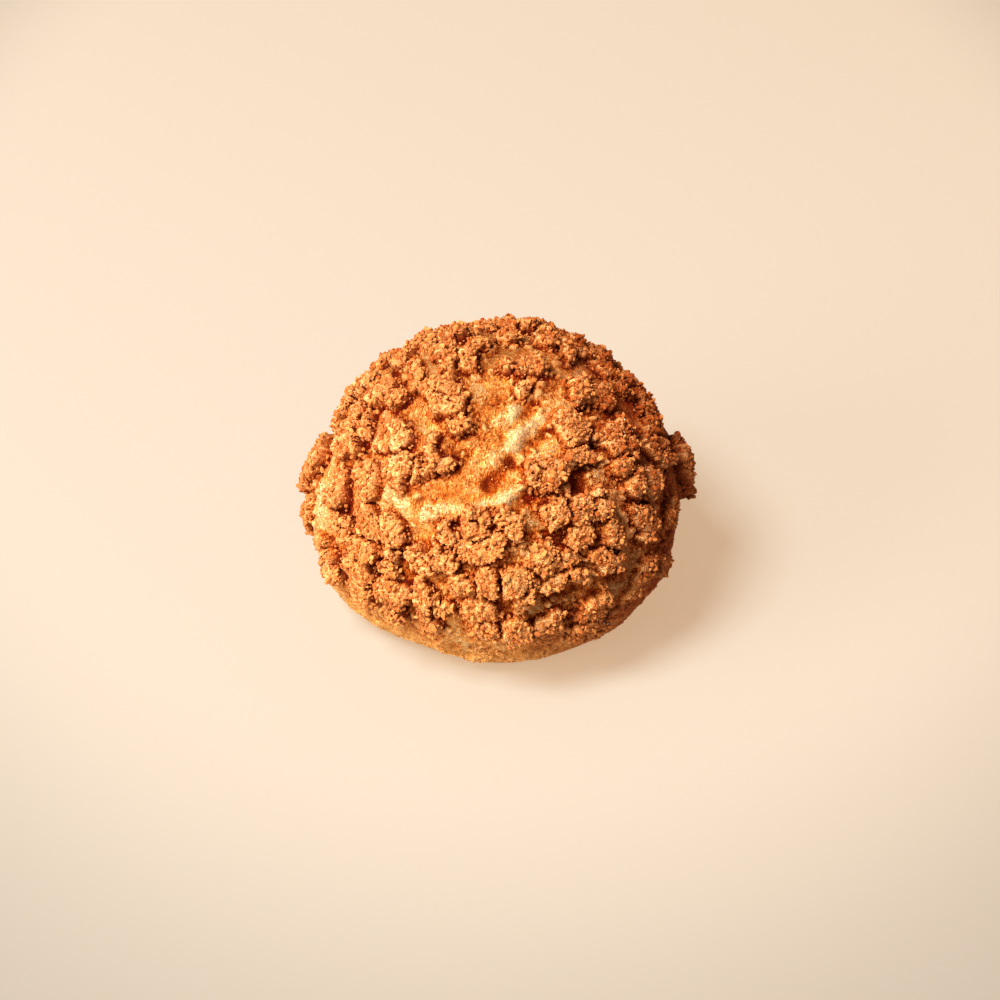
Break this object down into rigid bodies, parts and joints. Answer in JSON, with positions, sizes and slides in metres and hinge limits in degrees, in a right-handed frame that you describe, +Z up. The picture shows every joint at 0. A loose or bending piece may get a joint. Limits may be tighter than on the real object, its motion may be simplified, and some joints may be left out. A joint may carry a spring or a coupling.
{
  "type": "cream puff",
  "caption": "Round choux bun under a crackled cookie crust, whole and uncut, with a flat bottom to stand on.",
  "frame": {"origin": "centre of the flat bottom, on the surface it stands on", "axes": "+Z up; -Y is the side that the picture's camera faces; +X is to the camera's right"},
  "size_m": [0.0798, 0.0779, 0.057],
  "materials": {
    "crust": "golden-brown baked crust, dry and crumbly"
  },
  "bodies": {
    "root": {"puff": "crust"}
  },
  "joints": []
}
